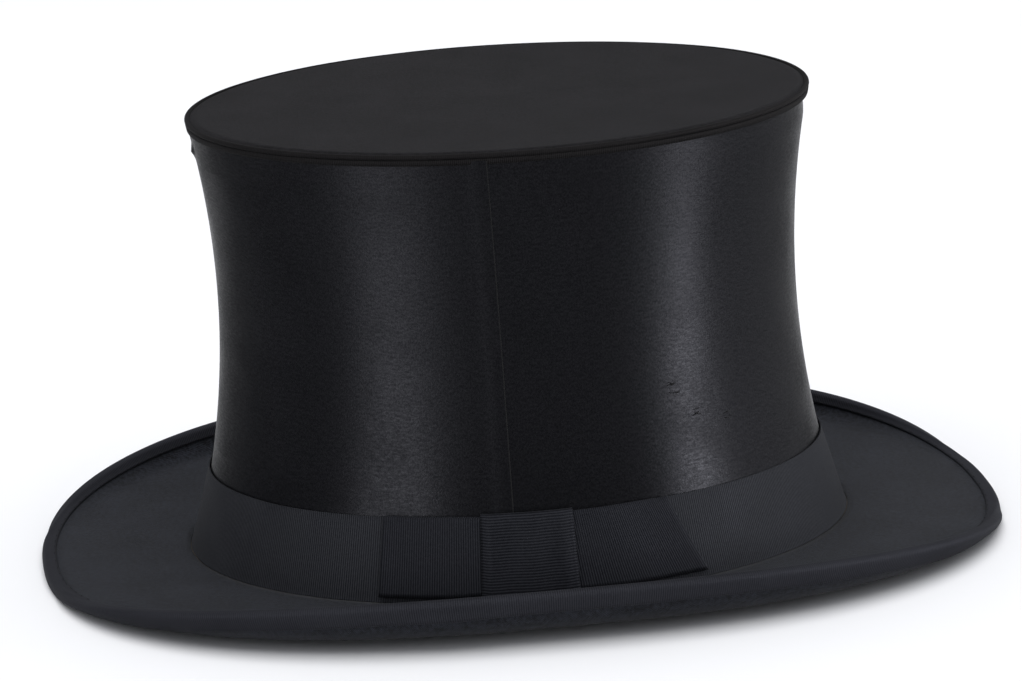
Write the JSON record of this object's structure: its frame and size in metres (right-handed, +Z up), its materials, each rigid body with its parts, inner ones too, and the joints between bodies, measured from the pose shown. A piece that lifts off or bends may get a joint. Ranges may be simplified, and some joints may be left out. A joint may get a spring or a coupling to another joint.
{
  "type": "top hat",
  "caption": "Collapsible opera hat: an oval satin crown on a sprung frame of folding arms, a curled bound brim, a ribbon band with a flat side bow, and a leather sweatband.",
  "frame": {"origin": "centre of the bounding box's base, on the surface that the front and rear of the brim rest on", "axes": "+X to the wearer's front, +Y to the wearer's left, where the bow is, +Z up through the crown"},
  "size_m": [0.309, 0.2502, 0.1442],
  "materials": {
    "crown_satin": "black silk satin with a vertical lustre",
    "brim_cloth": "matt black fine ribbed cloth",
    "tip_cloth": "matt black fine merino cloth, a little brown",
    "ribbon": "black grosgrain ribbon",
    "lining": "black satin lining",
    "board": "stiffened millinery board",
    "leather": "brown sweatband leather",
    "steel": "blackened spring steel strip",
    "spring_wire": "drawn steel wire"
  },
  "bodies": {
    "base": {"brim_board": "board", "brim_top_cover": "brim_cloth", "brim_under_cover": "brim_cloth", "brim_edge_wire": "spring_wire", "brim_binding": "ribbon", "collar": "board", "base_ring": "steel", "hat_band": "ribbon", "bow_knot": "ribbon", "bow_front_loop": "ribbon", "bow_tail": "ribbon", "sweatband": "leather", "sweatband_reed": "ribbon", "sweatband_bow": "ribbon", "satin_side": "crown_satin", "side_lining": "lining", "front_base_bracket": "steel", "front_base_pin": "spring_wire", "left_base_bracket": "steel", "left_base_pin": "spring_wire", "rear_base_bracket": "steel", "rear_base_pin": "spring_wire", "right_base_bracket": "steel", "right_base_pin": "spring_wire"},
    "crown_top": {"tip_cover": "tip_cloth", "tip_board": "board", "tip_lining": "lining", "tip_piping": "ribbon", "tip_ring": "steel", "front_top_bracket": "steel", "front_top_pin": "spring_wire", "left_top_bracket": "steel", "left_top_pin": "spring_wire", "rear_top_bracket": "steel", "rear_top_pin": "spring_wire", "right_top_bracket": "steel", "right_top_pin": "spring_wire"},
    "front_lower": {"front_lower_arm": "steel", "front_knee_pin": "spring_wire", "front_knee_spring": "spring_wire"},
    "front_upper": {"front_upper_arm": "steel"},
    "left_lower": {"left_lower_arm": "steel", "left_knee_pin": "spring_wire", "left_knee_spring": "spring_wire"},
    "left_upper": {"left_upper_arm": "steel"},
    "rear_lower": {"rear_lower_arm": "steel", "rear_knee_pin": "spring_wire", "rear_knee_spring": "spring_wire"},
    "rear_upper": {"rear_upper_arm": "steel"},
    "right_lower": {"right_lower_arm": "steel", "right_knee_pin": "spring_wire", "right_knee_spring": "spring_wire"},
    "right_upper": {"right_upper_arm": "steel"}
  },
  "joints": [
    {"name": "front_fold", "type": "hinge", "parent": "base", "child": "front_lower", "pos_m": [0.0886, 0, 0.0348], "axis": [0, -1, 0], "range_deg": [0, 83], "deforming": ["satin_side", "side_lining"]},
    {"name": "front_knee", "type": "hinge", "parent": "front_lower", "child": "front_upper", "pos_m": [0.0886, 0, 0.0843], "axis": [0, 1, 0], "range_deg": [0, 166], "stiffness_Nm_per_rad": 0.12, "springref_deg": -34.38, "deforming": ["front_knee_spring"]},
    {"name": "front_top", "type": "hinge", "parent": "front_upper", "child": "crown_top", "pos_m": [0.0886, 0, 0.1338], "axis": [0, -1, 0], "range_deg": [0, 83]},
    {"name": "left_fold", "type": "hinge", "parent": "base", "child": "left_lower", "pos_m": [0, 0.0697, 0.0348], "axis": [1, 0, 0], "range_deg": [0, 83]},
    {"name": "left_knee", "type": "hinge", "parent": "left_lower", "child": "left_upper", "pos_m": [0, 0.0697, 0.0843], "axis": [-1, 0, 0], "range_deg": [0, 166], "stiffness_Nm_per_rad": 0.12, "springref_deg": -34.38, "deforming": ["left_knee_spring"]},
    {"name": "rear_fold", "type": "hinge", "parent": "base", "child": "rear_lower", "pos_m": [-0.0886, 0, 0.0348], "axis": [0, 1, 0], "range_deg": [0, 83]},
    {"name": "rear_knee", "type": "hinge", "parent": "rear_lower", "child": "rear_upper", "pos_m": [-0.0886, 0, 0.0843], "axis": [0, -1, 0], "range_deg": [0, 166], "stiffness_Nm_per_rad": 0.12, "springref_deg": -34.38, "deforming": ["rear_knee_spring"]},
    {"name": "right_fold", "type": "hinge", "parent": "base", "child": "right_lower", "pos_m": [0, -0.0697, 0.0348], "axis": [-1, 0, 0], "range_deg": [0, 83]},
    {"name": "right_knee", "type": "hinge", "parent": "right_lower", "child": "right_upper", "pos_m": [0, -0.0697, 0.0843], "axis": [1, 0, 0], "range_deg": [0, 166], "stiffness_Nm_per_rad": 0.12, "springref_deg": -34.38, "deforming": ["right_knee_spring"]}
  ],
  "couplings": [
    {"joint": "front_top", "follows": "front_fold", "ratio": 1},
    {"joint": "front_knee", "follows": "front_fold", "ratio": 2},
    {"joint": "left_fold", "follows": "front_fold", "ratio": 1},
    {"joint": "left_knee", "follows": "front_fold", "ratio": 2},
    {"joint": "rear_fold", "follows": "front_fold", "ratio": 1},
    {"joint": "rear_knee", "follows": "front_fold", "ratio": 2},
    {"joint": "right_fold", "follows": "front_fold", "ratio": 1},
    {"joint": "right_knee", "follows": "front_fold", "ratio": 2}
  ]
}
